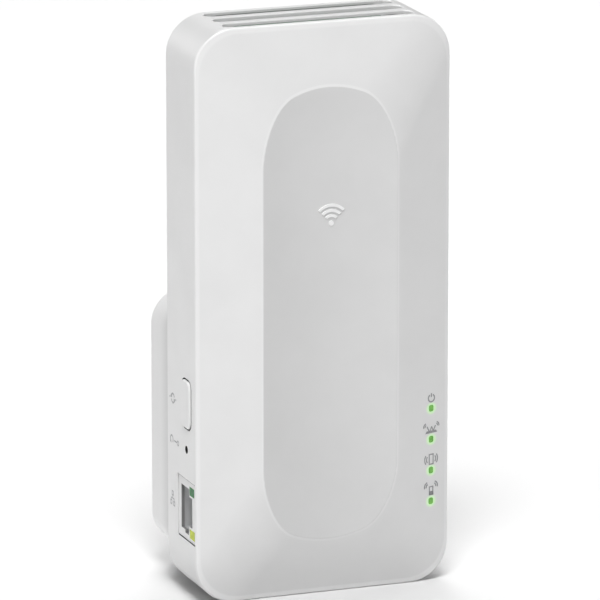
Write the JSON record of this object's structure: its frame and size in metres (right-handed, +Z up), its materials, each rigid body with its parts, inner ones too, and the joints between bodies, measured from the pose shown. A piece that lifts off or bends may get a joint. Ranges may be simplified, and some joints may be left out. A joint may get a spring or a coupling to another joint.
{
  "type": "wifi range extender",
  "caption": "Plug-in wifi range extender: slim white case with a scooped pillow front, side button, network jack, vents and a rear plug housing with mains blades.",
  "frame": {"origin": "middle of the plug housing's wall face, between the two mains blades", "axes": "+Z up along the case, +Y out of the wall face towards the socket (the front faces -Y), +X to the right seen from the front"},
  "size_m": [0.0695, 0.0617, 0.15],
  "materials": {
    "white_case": "fine matt texture",
    "plug_case": "fine matt texture",
    "label_film": "satin film",
    "screw_steel": "zinc plated",
    "blade_brass": "nickel plated",
    "carrier_plastic": "moulded",
    "lead_live": "wire insulation",
    "lead_neutral": "wire insulation",
    "power_board_resin": "paper-phenolic board",
    "main_board_resin": "solder-mask board",
    "black_plastic": "moulded",
    "sheet_film": "translucent film",
    "ferrite": "sintered",
    "winding_tape": "polyester tape",
    "choke_winding": "enamelled copper",
    "can_aluminium": "sleeved can",
    "yellow_box": "moulded box",
    "blue_disc": "epoxy coated",
    "fuse_glass": "glass tube",
    "chip_epoxy": "epoxy package",
    "tin_lid": "tinned lid",
    "pad_silicone": "silicone pad",
    "heatsink_alloy": "extruded",
    "socket_gold": "gold plated",
    "antenna_resin": "solder-mask board",
    "cable_jacket": "fluoropolymer jacket",
    "led_clear": "clear lens",
    "guide_clear": "clear moulding",
    "button_white": "fine matt texture",
    "plunger_plastic": "moulded",
    "jack_white": "moulded",
    "jack_grey": "moulded",
    "contact_gold": "gold plated",
    "light_green": "tinted lens",
    "light_amber": "tinted lens"
  },
  "bodies": {
    "case": {"front_cover": "white_case", "rear_shell": "white_case", "plug_housing": "plug_case", "rating_label": "label_film", "case_screws": "screw_steel", "plug_screws": "screw_steel", "board_screws": "screw_steel", "power_board_screws": "screw_steel", "live_blade": "blade_brass", "neutral_blade": "blade_brass", "blade_carrier": "carrier_plastic", "live_lead": "lead_live", "neutral_lead": "lead_neutral", "power_board": "power_board_resin", "dc_pin_header": "black_plastic", "dc_socket": "black_plastic", "insulating_sheet": "sheet_film", "x_capacitor": "yellow_box", "bridge_rectifier": "chip_epoxy", "optocoupler": "chip_epoxy", "transformer_core": "ferrite", "transformer_bobbin": "winding_tape", "common_mode_choke": "choke_winding", "input_capacitors": "can_aluminium", "output_capacitors": "can_aluminium", "varistor": "blue_disc", "y_capacitor": "blue_disc", "fuse": "fuse_glass", "main_board": "main_board_resin", "main_processor": "chip_epoxy", "memory_chip": "chip_epoxy", "flash_chip": "chip_epoxy", "ethernet_magnetics": "black_plastic", "power_inductor": "ferrite", "processor_shield": "tin_lid", "thermal_pad": "pad_silicone", "heatsink": "heatsink_alloy", "radio_shields": "tin_lid", "radio_chips": "chip_epoxy", "antenna_sockets": "socket_gold", "board_capacitors": "can_aluminium", "status_leds": "led_clear", "light_guide": "guide_clear", "antenna_left": "antenna_resin", "antenna_right": "antenna_resin", "antenna_cable_left": "cable_jacket", "antenna_cable_right": "cable_jacket", "wps_switch": "black_plastic", "reset_switch": "black_plastic", "ethernet_jack": "jack_grey", "jack_bezel": "jack_white", "jack_contacts": "contact_gold", "jack_light_green": "light_green", "jack_light_amber": "light_amber"},
    "button": {"wps_button": "button_white"},
    "wps_switch_plunger": {"wps_plunger": "plunger_plastic"},
    "reset_switch_plunger": {"reset_plunger": "plunger_plastic"}
  },
  "joints": [
    {"name": "wps_button_press", "type": "slide", "parent": "case", "child": "button", "axis": [1, 0, 0], "range_m": [0, 0.0005], "stiffness_N_per_m": 3000, "springref_m": -0.0002},
    {"name": "wps_plunger_press", "type": "slide", "parent": "case", "child": "wps_switch_plunger", "axis": [1, 0, 0], "range_m": [0, 0.0006]},
    {"name": "reset_plunger_press", "type": "slide", "parent": "case", "child": "reset_switch_plunger", "axis": [1, 0, 0], "range_m": [0, 0.0003], "stiffness_N_per_m": 3000, "springref_m": -0.0002}
  ],
  "couplings": [
    {"joint": "wps_plunger_press", "follows": "wps_button_press", "ratio": 1}
  ]
}
